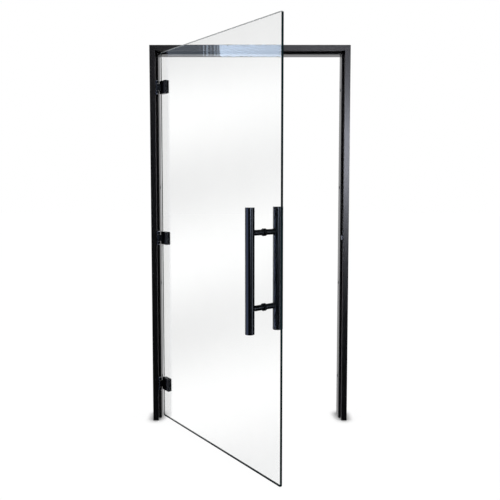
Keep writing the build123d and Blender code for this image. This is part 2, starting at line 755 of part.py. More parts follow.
def bar_caps(depth):
    """Caps on both ends of a pull bar, each with a spigot inside the tube."""
    with BuildPart() as caps:
        for end in (-1, 1):
            seat = HANDLE_HEIGHT + end * (BAR_LENGTH / 2 - CAP_THICKNESS)
            with BuildSketch(leaf_plan(seat)):
                with Locations((handle_reach, depth)):
                    Circle(BAR_RADIUS)
            extrude(amount=end * CAP_THICKNESS)
            with BuildSketch(leaf_plan(seat)):
                with Locations((handle_reach, depth)):
                    Circle(BAR_RADIUS - BAR_WALL - CAP_FIT)
            extrude(amount=-end * CAP_SPIGOT)
        rims = caps.edges().filter_by(GeomType.CIRCLE).sort_by(Axis.Z)
        fillet([rims[0], rims[-1]], radius=CAP_ROUND)
    return caps


def handle_posts(face_depth, way, bar_depth):
    """Two posts from the glass out to a bar, each coped to the bar and bored for its stud."""
    with BuildPart() as posts:
        with BuildSketch(leaf_face(face_depth - way * rosette_stack, 0)):
            with Locations(*handle_points):
                Circle(POST_RADIUS)
        extrude(amount=way * (BAR_STANDOFF - rosette_stack))
        with BuildSketch(leaf_plan(HANDLE_HEIGHT)):
            with Locations((handle_reach, bar_depth)):
                Circle(BAR_RADIUS + POST_FIT)
        extrude(amount=BAR_LENGTH / 2, both=True, mode=Mode.SUBTRACT)
        with BuildSketch(leaf_face(face_depth - way * rosette_stack, 0)):
            with Locations(*handle_points):
                Circle(stud_bore)
        extrude(amount=way * (STUD_BITE + STUD_TIP_GAP), mode=Mode.SUBTRACT)
    return posts


save(pull_bar(outer_bar_depth), "outer_pull_bar")
save(pull_bar(inner_bar_depth), "inner_pull_bar")
save(bar_caps(outer_bar_depth), "outer_bar_caps")
save(bar_caps(inner_bar_depth), "inner_bar_caps")
save(handle_posts(glass_near, 1, outer_bar_depth), "outer_handle_posts")
save(handle_posts(glass_far, -1, inner_bar_depth), "inner_handle_posts")


def discs(radius, height, lift):
    """Round plates with a stud hole on both sides of the glass, lift away from it."""
    with BuildPart() as plates:
        for face_depth, way in ((glass_near, 1), (glass_far, -1)):
            with BuildSketch(leaf_face(face_depth - way * lift, 0)):
                with Locations(*handle_points):
                    Circle(radius)
                    Circle(stud_bore, mode=Mode.SUBTRACT)
            extrude(amount=way * height)
    return plates


save(discs(WASHER_RADIUS, WASHER_HEIGHT, 0), "handle_washers")

with BuildPart() as handle_rosettes:
    add(discs(ROSETTE_RADIUS, ROSETTE_HEIGHT, WASHER_HEIGHT).part)
    faces_outward = handle_rosettes.faces().filter_by(GeomType.PLANE).sort_by(outward_axis)
    rims = [face.outer_wire().edges() for face in faces_outward[:2] + faces_outward[-2:]]
    chamfer([edge for rim in rims for edge in rim], length=ROSETTE_CHAMFER)
save(handle_rosettes, "handle_rosettes")

with BuildPart() as handle_studs:
    with BuildSketch(leaf_face(glass_far + rosette_stack + STUD_BITE, 0)):
        with Locations(*handle_points):
            Circle(STUD_RADIUS)
    extrude(amount=GLASS_THICKNESS + 2 * (rosette_stack + STUD_BITE))
save(handle_studs, "handle_studs")

with BuildPart() as handle_glass_sleeves:
    with BuildSketch(leaf_face(glass_far, 0)):
        with Locations(*handle_points):
            Circle(HANDLE_HOLE_RADIUS - SLEEVE_FIT)
            Circle(STUD_RADIUS + SLEEVE_FIT, mode=Mode.SUBTRACT)
    extrude(amount=GLASS_THICKNESS)
save(handle_glass_sleeves, "handle_glass_sleeves")

# Catch face plate on the reveal, with rounded ends, a window and two countersunk holes
plate_top = side_plane(reveal_x - CATCH_PLATE_THICKNESS, LEFT)
with BuildPart() as catch_face_plate:
    with BuildSketch(side_plane(reveal_x, LEFT)):
        with Locations((-roller_depth, catch_height)):
            SlotOverall(CATCH_PLATE_HEIGHT, CATCH_PLATE_WIDTH, rotation=90)
            Rectangle(2 * (ROLLER_RADIUS + FORK_FIT), 2 * (arm_outer + FORK_FIT), mode=Mode.SUBTRACT)
    extrude(amount=CATCH_PLATE_THICKNESS)
    with Locations(plate_top):
        with Locations(*catch_screw_points):
            CounterSinkHole(
                CATCH_SCREW_RADIUS + SCREW_FIT,
                CATCH_SCREW_HEAD_RADIUS + SCREW_FIT,
                depth=CATCH_PLATE_THICKNESS,
                counter_sink_angle=90,
            )
save(catch_face_plate, "catch_face_plate")

with BuildPart() as catch_screws:
    add(
        countersunk_screw(
            plate_top, catch_screw_points, CATCH_SCREW_RADIUS, CATCH_SCREW_HEAD_RADIUS, CATCH_SCREW_LENGTH
        )
    )
save(catch_screws, "catch_screws")

# Catch case behind the plate: a box open towards the roller
with BuildPart() as catch_case:
    with BuildSketch(side_plane(reveal_x, LEFT)):
        with Locations((-roller_depth, catch_height)):
            Rectangle(2 * case_half_width, 2 * case_half_height)
    extrude(amount=-case_depth)
    with BuildSketch(side_plane(reveal_x, LEFT)):
        with Locations((-roller_depth, catch_height)):
            Rectangle(2 * (case_half_width - CASE_WALL), 2 * (case_half_height - CASE_WALL))
    extrude(amount=-case_depth + CASE_WALL, mode=Mode.SUBTRACT)
save(catch_case, "catch_case")

# Fork, spring, roller and pin, drawn on a plane through the roller: x into the jamb, y up
catch_plane = Plane(origin=(reveal_x, roller_depth, catch_height), x_dir=(1, 0, 0), z_dir=(0, -1, 0))
nose = roller_inset - FORK_NOSE
with BuildPart() as catch_plunger:
    with BuildSketch(catch_plane):
        with BuildLine():
            Polyline(
                (nose, arm_inner),
                (nose, arm_outer),
                (FORK_FIT, arm_outer),
                (FORK_FIT, shoulder_outer),
                (fork_back, shoulder_outer),
                (fork_back, -shoulder_outer),
                (FORK_FIT, -shoulder_outer),
                (FORK_FIT, -arm_outer),
                (nose, -arm_outer),
                (nose, -arm_inner),
                (fork_base, -arm_inner),
                (fork_base, arm_inner),
                close=True,
            )
        make_face()
    extrude(amount=FORK_WIDTH / 2, both=True)
    noses = catch_plunger.edges().filter_by(Axis.Z).group_by(Axis.X)[0]
    fillet(noses, radius=FORK_NOSE - FORK_FIT)
    with BuildSketch(Plane(origin=(reveal_x + roller_inset, roller_depth, catch_height))):
        Circle(ROLLER_PIN_RADIUS + PRESS_FIT)
    extrude(amount=arm_outer, both=True, mode=Mode.SUBTRACT)
save(catch_plunger, "catch_plunger")

roller_plane = Plane(origin=(reveal_x + roller_inset, roller_depth, catch_height))
with BuildPart() as catch_roller:
    with BuildSketch(roller_plane):
        Circle(ROLLER_RADIUS)
        Circle(ROLLER_PIN_RADIUS + RUNNING_FIT, mode=Mode.SUBTRACT)
    extrude(amount=ROLLER_LENGTH / 2, both=True)
save(catch_roller, "catch_roller")

with BuildPart() as catch_roller_pin:
    with BuildSketch(roller_plane):
        Circle(ROLLER_PIN_RADIUS)
    extrude(amount=arm_outer, both=True)
save(catch_roller_pin, "catch_roller_pin")

spring_front = fork_back + SPRING_END_GAP
spring_back = case_depth - CASE_WALL - SPRING_END_GAP
with BuildPart() as catch_spring:
    with BuildSketch(catch_plane):
        with BuildLine():
            bow = ThreePointArc(
                (spring_back - SPRING_THICKNESS, -arm_outer),
                (spring_front, 0),
                (spring_back - SPRING_THICKNESS, arm_outer),
            )
            back = ThreePointArc(
                (spring_back, -arm_outer), (spring_front + SPRING_THICKNESS, 0), (spring_back, arm_outer)
            )
            Line(bow @ 0, back @ 0)
            Line(bow @ 1, back @ 1)
        make_face()
    extrude(amount=SPRING_WIDTH / 2, both=True)
save(catch_spring, "catch_spring")
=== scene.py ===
import json
import math

import bmesh
import bpy
from bpy.props import FloatProperty, FloatVectorProperty, PointerProperty
from mathutils import Matrix, Vector


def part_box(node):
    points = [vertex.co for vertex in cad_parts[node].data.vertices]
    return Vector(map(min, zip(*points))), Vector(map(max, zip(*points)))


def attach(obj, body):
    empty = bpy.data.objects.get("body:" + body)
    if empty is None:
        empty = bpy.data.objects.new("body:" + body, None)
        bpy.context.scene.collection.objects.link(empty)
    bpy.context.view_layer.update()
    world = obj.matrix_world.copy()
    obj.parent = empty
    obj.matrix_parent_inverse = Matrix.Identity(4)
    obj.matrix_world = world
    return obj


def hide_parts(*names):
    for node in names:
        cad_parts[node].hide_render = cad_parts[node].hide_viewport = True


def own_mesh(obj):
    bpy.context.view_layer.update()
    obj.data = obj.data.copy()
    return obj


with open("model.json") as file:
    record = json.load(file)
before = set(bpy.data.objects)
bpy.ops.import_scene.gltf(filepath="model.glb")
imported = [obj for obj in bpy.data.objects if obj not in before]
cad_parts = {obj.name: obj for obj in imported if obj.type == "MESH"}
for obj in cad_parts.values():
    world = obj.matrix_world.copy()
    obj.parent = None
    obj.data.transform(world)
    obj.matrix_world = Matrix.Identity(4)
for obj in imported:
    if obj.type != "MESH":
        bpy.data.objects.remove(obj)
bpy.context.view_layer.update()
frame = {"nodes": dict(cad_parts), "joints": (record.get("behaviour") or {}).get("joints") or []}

bl_info = {
    "name": "Framed glass door",
    "version": (1, 0, 0),
    "blender": (4, 5, 0),
    "location": "3D View > Sidebar > Glass door",
    "description": "Finishes a framed glass door and sets it on a pale stage",
    "category": "Object",
}

RIGHT = (1.0, 0.0, 0.0)
BACK = (0.0, 1.0, 0.0)
UP = (0.0, 0.0, 1.0)
WHITE = (1.0, 1.0, 1.0, 1.0)

HINGES = ("lower", "middle", "upper")
MILL_GREY = (0.7, 0.7, 0.71, 1.0)
HINGE_GLOSS = 0.2
ROLLER_SHADE = 0.4
SMOOTH_LIMIT = math.radians(32)
SPRING_STEPS = 40

# Where the dark teal band along the foot of the glass fades out, from the edge inwards: the glass's edge
# tint, spread onto its faces as painted shade
FOOT_BAND = (0.0055, 0.008)
# How much narrower the bands along its sides are
SIDE_BAND_LESS = 0.004
# Where the pale band along its top fades out, and the share of that band that isn't clear: a painted
# highlight for light the top edge catches
TOP_BAND = (0.003, 0.005)
TOP_COVER = 0.45
# Depth under a face of the glass at which the surface of an edge begins
SKIN = (0.0001, 0.0004)

# Floor, with a painted contact shadow where things stand on it
FLOOR_GREY = (0.21, 0.21, 0.21, 1.0)
FLOOR_PALER = (0.23, 0.23, 0.23, 1.0)
FLOOR_GLOW = 0.93
CONTACT_REACH = 0.042
CONTACT_SAMPLES = 16
CONTACT_DEPTH = 2.0

# Blue card, mirrored where the leaf crosses the head: streaked and dim from some way back
REFLECTOR_CENTRE = (-2.6, 0.385, 2.3302)
REFLECTOR_HEIGHT = 0.096
REFLECTOR_LENGTH = 1.03
REFLECTOR_TILT = math.radians(3.3)
REFLECTOR_BLUE = (0.66, 0.8, 1.0, 1.0)
REFLECTOR_STRENGTH = 10.25
DIM_FROM = (0.4, 0.425)
DIM_SHARE = 0.085
STREAKS_TO = (0.57, 0.6)
STREAK_SHARE = 0.27

# White card, mirrored in the front of the strike jamb
GLOW_CENTRE = (0.96, -3.05, 1.5)
GLOW_SIZE = (2.2, 2.9)
GLOW_WHITE = (0.92, 0.95, 1.0, 1.0)
GLOW_STRENGTH = 36.0
GLOW_FALL = 12.0
GLOW_RIM = (0.4, 1.0)

# Surround: what gloss mirrors by direction, and the light on matt surfaces
BAND_PITCH = 0.237
BAND_START = 0.202
BAND_LEAN = 0.25
BAND_MEAN = 0.8
BAND_SWING = 0.5
DARK_SHARE = 0.03
LEFT_PANEL_STRENGTH = 1.9
LEFT_PANEL_BLUE = (0.6, 0.68, 1.0, 1.0)
RIGHT_PANEL_STRENGTH = 2.2
MATT_LIGHT = 0.34

# Lamp
LAMP_PLACE = (0.2, -2.9, 2.6)
LAMP_TARGET = (0.0, 0.0, 1.8)
LAMP_SIZE = (1.9, 0.5)
LAMP_WATTS = 8.0

PICTURE_WIDTH_MM = 36.0


def joint_of(name):
    """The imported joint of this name."""
    return next(joint for joint in frame["joints"] if joint["name"] == name)


swing = joint_of("door_swing")
hinge_axis = Vector((swing["pos_m"][0], swing["pos_m"][1], 0.0))
open_angle = -math.radians(swing["range_deg"][0])
leaf_place = Matrix.Translation(hinge_axis) @ Matrix.Rotation(-open_angle, 4, "Z")
leaf_along = leaf_place.to_3x3() @ Vector(RIGHT)
leaf_inward = leaf_place.to_3x3() @ Vector(BACK)


def leaf_box(node):
    """Lowest and highest corner of a leaf's node: x along the leaf, y towards its inner side, z up."""
    to_leaf = leaf_place.inverted()
    points = [to_leaf @ vertex.co for vertex in frame["nodes"][node].data.vertices]
    low = Vector([min(point[axis] for point in points) for axis in range(3)])
    high = Vector([max(point[axis] for point in points) for axis in range(3)])
    return low, high


class FinishSettings(bpy.types.PropertyGroup):
    """Colours of the door's finishes, and the thickness of the spring in its catch."""

    frame_black: FloatVectorProperty(
        name="Frame black",
        description="Colour of the anodised frame",
        subtype="COLOR",
        size=4,
        min=0.0,
        max=1.0,
        default=(0.003, 0.003, 0.0035, 1.0),
    )
    fitting_black: FloatVectorProperty(
        name="Fitting black",
        description="Colour of the coated hinges and pull bars",
        subtype="COLOR",
        size=4,
        min=0.0,
        max=1.0,
        default=(0.0025, 0.0026, 0.0034, 1.0),
    )
    rubber_black: FloatVectorProperty(
        name="Seal black",
        description="Colour of the rubber seals and pads",
        subtype="COLOR",
        size=4,
        min=0.0,
        max=1.0,
        default=(0.0025, 0.0025, 0.0028, 1.0),
    )
    glass_tint: FloatVectorProperty(
        name="Glass tint",
        description="Colour that light takes on through the glass",
        subtype="COLOR",
        size=4,
        min=0.0,
        max=1.0,
        default=(0.958, 0.963, 0.961, 1.0),
    )
    # The glass's own edge tint, made dark enough to stand for the shade along its edges: partly painted
    # shade.
    edge_teal: FloatVectorProperty(
        name="Edge teal",
        description="Colour of the glass along its polished sides and foot",
        subtype="COLOR",
        size=4,
        min=0.0,
        max=1.0,
        default=(0.005, 0.02, 0.024, 1.0),
    )
    # Painted highlight: the pale band along the glass's top edge stands for light caught there.
    pale_top_highlight: FloatVectorProperty(
        name="Top edge",
        description="Colour of the leaf's ground top edge",
        subtype="COLOR",
        size=4,
        min=0.0,
        max=1.0,
        default=(0.78, 0.81, 0.81, 1.0),
    )
    steel_grey: FloatVectorProperty(
        name="Steel",
        description="Colour of the bare steel pieces",
        subtype="COLOR",
        size=4,
        min=0.0,
        max=1.0,
        default=(0.56, 0.56, 0.57, 1.0),
    )
    nylon_white: FloatVectorProperty(
        name="Nylon",
        description="Colour of the hinge bushes",
        subtype="COLOR",
        size=4,
        min=0.0,
        max=1.0,
        default=(0.62, 0.62, 0.58, 1.0),
    )
    spring_thickness: FloatProperty(
        name="Spring thickness",
        description="Thickness of the bowed spring in the catch",
        subtype="DISTANCE",
        unit="LENGTH",
        default=0.0006,
    )


class StageSettings(bpy.types.PropertyGroup):
    """Floor and camera."""

    floor_size: FloatProperty(
        name="Floor size",
        description="Side of the square floor",
        subtype="DISTANCE",
        unit="LENGTH",
        default=40.0,
    )
    camera_distance: FloatProperty(
        name="Camera distance",
        description="From the camera to the frame's front face",
        subtype="DISTANCE",
        unit="LENGTH",
        default=3.008,
    )
    camera_height: FloatProperty(
        name="Camera height",
        description="Height of the camera over the floor",
        subtype="DISTANCE",
        unit="LENGTH",
        default=1.22,
    )
    camera_tilt: FloatProperty(
        name="Camera tilt",
        description="Angle at which the camera looks down",
        subtype="ANGLE",
        unit="ROTATION",
        default=math.radians(3.88),
    )
    camera_lens: FloatProperty(
        name="Focal length",
        description="Focal length on a 36 mm wide picture, in millimetres",
        default=43.36,
    )
    camera_shift: FloatProperty(
        name="Vertical shift",
        description="Shift of the picture, in picture widths",
        default=-0.055,
    )


class Flow:
    """A socket of a node tree. Python's operators on it add Math nodes."""

    def __init__(self, tree, socket=None):
        self.tree = tree
        self.socket = socket

    def node(self, kind, settings=None, inputs=None, output=0):
        """Adds a node: its settings first, then the values or links of its sockets."""
        made = self.tree.nodes.new(kind)
        for name, value in (settings or {}).items():
            setattr(made, name, value)
        for name, value in (inputs or {}).items():
            if isinstance(value, Flow):
                self.tree.links.new(value.socket, made.inputs[name])
            else:
                made.inputs[name].default_value = value
        return Flow(self.tree, made.outputs[output] if made.outputs else None)

    def math(self, operation, first, second):
        """One Math node on two values or links."""
        return self.node("ShaderNodeMath", {"operation": operation}, {0: first, 1: second})

    def __add__(self, other):
        return self.math("ADD", self, other)

    __radd__ = __add__

    def __sub__(self, other):
        return self.math("SUBTRACT", self, other)

    def __rsub__(self, other):
        return self.math("SUBTRACT", other, self)

    def __mul__(self, other):
        return self.math("MULTIPLY", self, other)

    __rmul__ = __mul__

    def dot(self, direction):
        """How far these coordinates reach along a direction."""
        settings = {"operation": "DOT_PRODUCT"}
        return self.node("ShaderNodeVectorMath", settings, {0: self, 1: direction}, "Value")

    def places(self):
        """Object coordinates of the piece."""
        return self.node("ShaderNodeTexCoord", output="Object")

    def stretched(self, scale):
        """These coordinates times a scale along each axis."""
        return self.node("ShaderNodeMapping", inputs={"Vector": self, "Scale": scale})

    def noise(self, scale, detail=2.0, roughness=0.5):
        """Noise over these coordinates, from 0 to 1."""
        values = {"Vector": self, "Scale": scale, "Detail": detail, "Roughness": roughness}
        return self.node("ShaderNodeTexNoise", inputs=values, output="Fac")

    def between(self, low, high):
        """0 up to low, 1 from high, and a smooth rise between them."""
        settings = {"interpolation_type": "SMOOTHSTEP"}
        values = {"Value": self, "From Min": low, "From Max": high}
        return self.node("ShaderNodeMapRange", settings, values)

    def mix(self, first, second):
        """Two colours mixed by this value."""
        settings = {"data_type": "RGBA"}
        inputs = {"Factor": self, 6: first, 7: second}
        return self.node("ShaderNodeMix", settings, inputs, output=2)

    def mix_shaders(self, first, second):
        """Two shaders mixed by this value."""
        return self.node("ShaderNodeMixShader", inputs={0: self, 1: first, 2: second})

    def bump(self, strength, depth):
        """A normal from this height."""
        values = {"Height": self, "Strength": strength, "Distance": depth}
        return self.node("ShaderNodeBump", inputs=values)

    def principled(self, **values):
        """The Principled shader; an underscore in a name stands for a space."""
        named = {name.replace("_", " "): value for name, value in values.items()}
        return self.node("ShaderNodeBsdfPrincipled", inputs=named)


def inset(reach, length):
    """How far a place lies inside the nearer end of a length."""
    return reach.math("MINIMUM", reach, length - reach)


def material_of(name, shader_of):
    """A material whose surface is what shader_of returns for its empty node tree."""
    material = bpy.data.materials.new(name)
    material.use_nodes = True
    material.node_tree.nodes.clear()
    start = Flow(material.node_tree)
    start.node("ShaderNodeOutputMaterial", inputs={"Surface": shader_of(start)})
    return material


def lighter(colour, times):
    """A colour scaled in brightness, its alpha kept."""
    return (colour[0] * times, colour[1] * times, colour[2] * times, colour[3])


def satin_black(name, colour, along):
    """Anodised aluminium: fine grain, die lines along the length, uneven sheen."""
    stretch = [1.0 - 0.985 * part for part in along]

    def shader(start):
        place = start.places()
        lines = place.stretched(stretch).noise(1400.0, 3.0)
        grain = place.noise(2600.0)
        cloud = place.noise(4.0, 4.0, 0.6)
        return start.principled(
            Base_Color=cloud.between(0.3, 0.7).mix(colour, lighter(colour, 1.35)),
            Roughness=0.22 + lines * 0.08 + cloud * 0.08,
            Specular_IOR_Level=0.5,
            Specular_Tint=(0.93, 0.92, 1.0, 1.0),
            Normal=(grain * 0.6 + lines * 0.4).bump(0.12, 0.0002),
        )

    return material_of(name, shader)


def powder_coat(name, colour, gloss=0.5):
    """Satin powder coat on steel: an orange-peel surface with soft rubbed patches."""

    def shader(start):
        place = start.places()
        peel = place.noise(900.0, 2.0, 0.55)
        rubbed = place.noise(22.0, 4.0, 0.6)
        return start.principled(
            Base_Color=rubbed.between(0.35, 0.75).mix(colour, lighter(colour, 1.5)),
            Roughness=0.14 + rubbed * 0.08,
            Specular_IOR_Level=gloss,
            Specular_Tint=(0.72, 0.82, 1.0, 1.0),
            Normal=peel.bump(0.1, 0.0001),
        )

    return material_of(name, shader)


def clear_glass(name, tint, edge, top):
    """Toughened glass: clear faces with faint smears, deep teal edges widened into a painted dark band
    along the foot and sides, and a pale painted highlight along the top edge.
    """
    low, high = leaf_box("glass_panel")
    start_along = leaf_along.dot(hinge_axis) + low.x
    start_inward = leaf_inward.dot(hinge_axis) + low.y
    width, thickness, height = high - low

    def shader(start):
        place = start.places()
        smear = place.noise(7.0, 3.0, 0.55)
        clear = start.principled(
            Base_Color=smear.between(0.35, 0.75).mix(tint, lighter(tint, 0.99)),
            Roughness=0.0,
            IOR=1.5,
            Transmission_Weight=1.0,
        )
        cloud = place.noise(5.0).between(0.3, 0.7)
        # Partly painted shade: opaque dark teal on the edges, and as a band on the faces along the foot
        # and sides.
        tinted_and_shaded = start.principled(
            Base_Color=cloud.mix(edge, lighter(edge, 1.8)),
            Roughness=0.1,
            Specular_IOR_Level=0.08,
        )
        # Painted highlight: a pale matt band along the top edge, half mixed over the clear glass.
        highlighted = start.principled(
            Base_Color=cloud.mix(top, lighter(top, 0.92)),
            Roughness=0.5,
        )
        from_side = inset(place.dot(leaf_along) - start_along, width)
        from_foot = place.dot(UP) - low.z
        from_face = inset(place.dot(leaf_inward) - start_inward, thickness)
        # Painted shade along the foot and sides, painted highlight along the top: masks by distance from
        # the pane's edges.
        inside = start.math("MINIMUM", from_side + SIDE_BAND_LESS, from_foot).between(*FOOT_BAND)
        below_top = (height - from_foot).between(*TOP_BAND)
        rim = 1.0 - inside * (1.0 - from_face.between(*SKIN))
        covered = below_top * rim + (1.0 - below_top) * TOP_COVER
        return covered.mix_shaders(clear, below_top.mix_shaders(highlighted, tinted_and_shaded))

    return material_of(name, shader)


def seal_rubber(name, colour):
    """Matt extruded rubber with a faint bloom."""

    def shader(start):
        place = start.places()
        bloom = place.noise(60.0, 4.0, 0.65)
        skin = place.noise(1800.0)
        return start.principled(
            Base_Color=bloom.between(0.4, 0.8).mix(colour, lighter(colour, 2.0)),
            Roughness=0.6 + bloom * 0.2,
            Specular_IOR_Level=0.3,
            Normal=skin.bump(0.2, 0.0001),
        )

    return material_of(name, shader)


def moulded_nylon(name, colour):
    """Moulded plastic with a fine spark-eroded texture and slight clouding."""

    def shader(start):
        place = start.places()
        cloud = place.noise(90.0, 3.0, 0.6)
        pits = place.noise(1500.0)
        return start.principled(
            Base_Color=cloud.between(0.3, 0.7).mix(colour, lighter(colour, 0.85)),
            Roughness=0.42 + cloud * 0.14,
            Normal=pits.bump(0.15, 0.0001),
        )

    return material_of(name, shader)


def bare_metal(name, colour, rough, along=UP):
    """Turned or drawn metal with fine lines along its length."""
    stretch = [1.0 - 0.97 * part for part in along]

    def shader(start):
        place = start.places()
        lines = place.stretched(stretch).noise(3000.0, 3.0, 0.6)
        stain = place.noise(45.0, 4.0, 0.6)
        return start.principled(
            Base_Color=stain.between(0.35, 0.8).mix(colour, lighter(colour, 0.82)),
            Metallic=1.0,
            Roughness=rough + lines * 0.12 + stain * 0.08,
            Normal=lines.bump(0.1, 0.00008),
        )

    return material_of(name, shader)


def dress(names, material):
    """Gives CAD nodes a material."""
    for name in names:
        for slot in frame["nodes"][name].material_slots:
            slot.material = material


def add_object(name, shape, material):
    """Makes an object of a finished bmesh."""
    mesh = bpy.data.meshes.new(name)
    shape.to_mesh(mesh)
    shape.free()
    mesh.materials.append(material)
    made = bpy.data.objects.new(name, mesh)
    bpy.context.scene.collection.objects.link(made)
    return made


def add_piece(name, shape, material, body, stands_for):
    """Makes a piece of a finished bmesh, smooth but for its sharp edges, on its body."""
    for face in shape.faces:
        face.smooth = True
    for edge in shape.edges:
        edge.smooth = len(edge.link_faces) == 2 and edge.calc_face_angle() < SMOOTH_LIMIT
    piece = add_object(name, shape, material)
    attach(piece, body)
    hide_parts(*stands_for)
    return piece


class FrameOperator(bpy.types.Operator):
    """Finishes the jambs, the head, their corner cleats and the fixing plugs."""

    bl_idname = "glass_door.frame"
    bl_label = "Frame"

    def execute(self, context):
        finish = context.scene.door_finish
        dress(("hinge_jamb", "strike_jamb"), satin_black("jamb_black", finish.frame_black, UP))
        dress(("head_rail",), satin_black("head_black", finish.frame_black, RIGHT))
        cleat = bare_metal("mill_aluminium", MILL_GREY, rough=0.35)
        dress(("left_corner_cleat", "right_corner_cleat"), cleat)
        screw = bare_metal("cleat_screw_steel", finish.steel_grey, rough=0.3)
        dress(("corner_cleat_screws",), screw)
        plug = moulded_nylon("plug_black", finish.frame_black)
        dress(("hinge_jamb_hole_plugs", "strike_jamb_hole_plugs"), plug)
        return {"FINISHED"}


class SealOperator(bpy.types.Operator):
    """Finishes the rubber seals in the stop."""

    bl_idname = "glass_door.seals"
    bl_label = "Seals"

    def execute(self, context):
        rubber = seal_rubber("seal_rubber", context.scene.door_finish.rubber_black)
        dress(("hinge_side_seal", "strike_side_seal", "head_seal"), rubber)
        return {"FINISHED"}


class HingeOperator(bpy.types.Operator):
    """Finishes the three clamp hinges and their fasteners."""

    bl_idname = "glass_door.hinges"
    bl_label = "Hinges"

    def execute(self, context):
        finish = context.scene.door_finish
        coat = powder_coat("hinge_black", finish.fitting_black, HINGE_GLOSS)
        pad = seal_rubber("pad_rubber", finish.rubber_black)
        steel = bare_metal("pin_steel", finish.steel_grey, rough=0.25)
        for hinge in HINGES:
            dress([f"{hinge}_hinge_{part}" for part in ("bracket", "outer_plate", "inner_plate")], coat)
            dress([f"{hinge}_hinge_{part}" for part in ("outer_pad", "inner_pad")], pad)
            dress((f"{hinge}_hinge_pin",), steel)
        dress(("hinge_nut_plates",), steel)
        screw = powder_coat("screw_black", finish.fitting_black, HINGE_GLOSS)
        dress(("hinge_bracket_screws", "hinge_clamp_screws"), screw)
        dress(("hinge_bushes",), moulded_nylon("bush_nylon", finish.nylon_white))
        dress(("clamp_screw_sleeves",), moulded_nylon("clamp_sleeve_black", finish.frame_black))
        return {"FINISHED"}


class GlassOperator(bpy.types.Operator):
    """Finishes the glass leaf, which leaves the floor under it unshaded."""

    bl_idname = "glass_door.glass"
    bl_label = "Glass leaf"

    def execute(self, context):
        finish = context.scene.door_finish
        glass = clear_glass("clear_glass", finish.glass_tint, finish.edge_teal, finish.pale_top_highlight)
        dress(("glass_panel",), glass)
        frame["nodes"]["glass_panel"].visible_shadow = False
        return {"FINISHED"}


class HandleOperator(bpy.types.Operator):
    """Finishes the pull bars, their posts and what holds them through the glass."""

    bl_idname = "glass_door.handle"
    bl_label = "Pull handle"

    def execute(self, context):
        finish = context.scene.door_finish
        coat = powder_coat("bar_black", finish.fitting_black)
        for side in ("outer", "inner"):
            dress([f"{side}_{part}" for part in ("pull_bar", "bar_caps", "handle_posts")], coat)
        dress(("handle_rosettes",), coat)
        dress(("handle_washers",), seal_rubber("washer_rubber", finish.rubber_black))
        dress(("handle_glass_sleeves",), moulded_nylon("sleeve_black", finish.frame_black))
        dress(("handle_studs",), bare_metal("stud_steel", finish.steel_grey, 0.3, leaf_inward))
        return {"FINISHED"}


class CatchOperator(bpy.types.Operator):
    """Finishes the roller catch in the strike jamb and makes its bowed spring."""

    bl_idname = "glass_door.catch"
    bl_label = "Roller catch"

    def execute(self, context):
        finish = context.scene.door_finish
        steel = bare_metal("roller_steel", lighter(finish.steel_grey, ROLLER_SHADE), rough=0.25)
        dress(("catch_roller", "catch_roller_pin", "catch_case"), steel)
        dress(("catch_face_plate", "catch_screws"), powder_coat("catch_black", finish.fitting_black))
        dress(("catch_plunger",), moulded_nylon("plunger_black", finish.frame_black))
        self.add_spring(bare_metal("spring_steel", finish.steel_grey, rough=0.2), finish.spring_thickness)
        return {"FINISHED"}

    def add_spring(self, material, thickness):
        """A strip bent to an arc in the box of its solid."""
        low, high = (Vector(corner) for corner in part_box("catch_spring"))
        middle = (low + high) / 2
        half_height = (high.z - low.z) / 2
        sag = high.x - low.x - thickness / 2
        radius = (half_height ** 2 + sag ** 2) / (2 * sag)
        half_turn = math.asin(half_height / radius)
        centre = Vector((low.x + radius, middle.y, middle.z))
        shape = bmesh.new()
        foot = centre + Vector((-radius * math.cos(half_turn), 0.0, -half_height))
        ends = [shape.verts.new((foot.x, side, foot.z)) for side in (low.y, high.y)]
        edge = shape.edges.new(ends)
        bmesh.ops.spin(
            shape,
            geom=[*ends, edge],
            cent=centre,
            axis=BACK,
            angle=2 * half_turn,
            steps=SPRING_STEPS,
        )
        bmesh.ops.recalc_face_normals(shape, faces=shape.faces)
        bmesh.ops.solidify(shape, geom=shape.faces[:], thickness=thickness)
        bmesh.ops.recalc_face_normals(shape, faces=shape.faces)
        spring = add_piece("catch_bowed_spring", shape, material, "frame", ("catch_spring",))
        keep = 1.0 - joint_of("catch_slide")["range_m"][1] / (high.x - low.x)
        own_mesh(spring)


def ray_kinds(start):
    """Whether a ray sees the stage directly or through glass, and whether a gloss has mirrored it."""
    camera = start.node("ShaderNodeLightPath", output="Is Camera Ray")
    outputs = camera.socket.node.outputs
    through = Flow(start.tree, outputs["Is Transmission Ray"])
    glossy = Flow(start.tree, outputs["Is Glossy Ray"])
    bounces = Flow(start.tree, outputs["Glossy Depth"])
    mirrored = start.math("MINIMUM", bounces, 1.0)
    seen = start.math("MAXIMUM", camera, through * (1.0 - mirrored))
    return seen, start.math("MAXIMUM", mirrored, glossy * (1.0 - through))


def floor_shader(start):
    """A white floor with a painted contact shadow close to what stands on it; it melts into the backdrop
    and isn't mirrored.
    """
    seen, mirrored = ray_kinds(start)
    mottle = start.places().noise(3.0, 3.0)
    matt = start.node("ShaderNodeBsdfDiffuse", inputs={"Color": mottle.mix(FLOOR_GREY, FLOOR_PALER)})
    settings = {"samples": CONTACT_SAMPLES}
    # Painted contact shadow: ambient occlusion darkens the floor's glow close to the door.
    contact_shadow = start.node("ShaderNodeAmbientOcclusion", settings, {"Distance": CONTACT_REACH}, "AO")
    strength = seen * FLOOR_GLOW * contact_shadow.math("POWER", contact_shadow, CONTACT_DEPTH)
    glow = start.node("ShaderNodeEmission", inputs={"Strength": strength})
    lit = start.node("ShaderNodeAddShader", inputs={0: matt, 1: glow})
    return mirrored.mix_shaders(lit, start.node("ShaderNodeBsdfTransparent"))


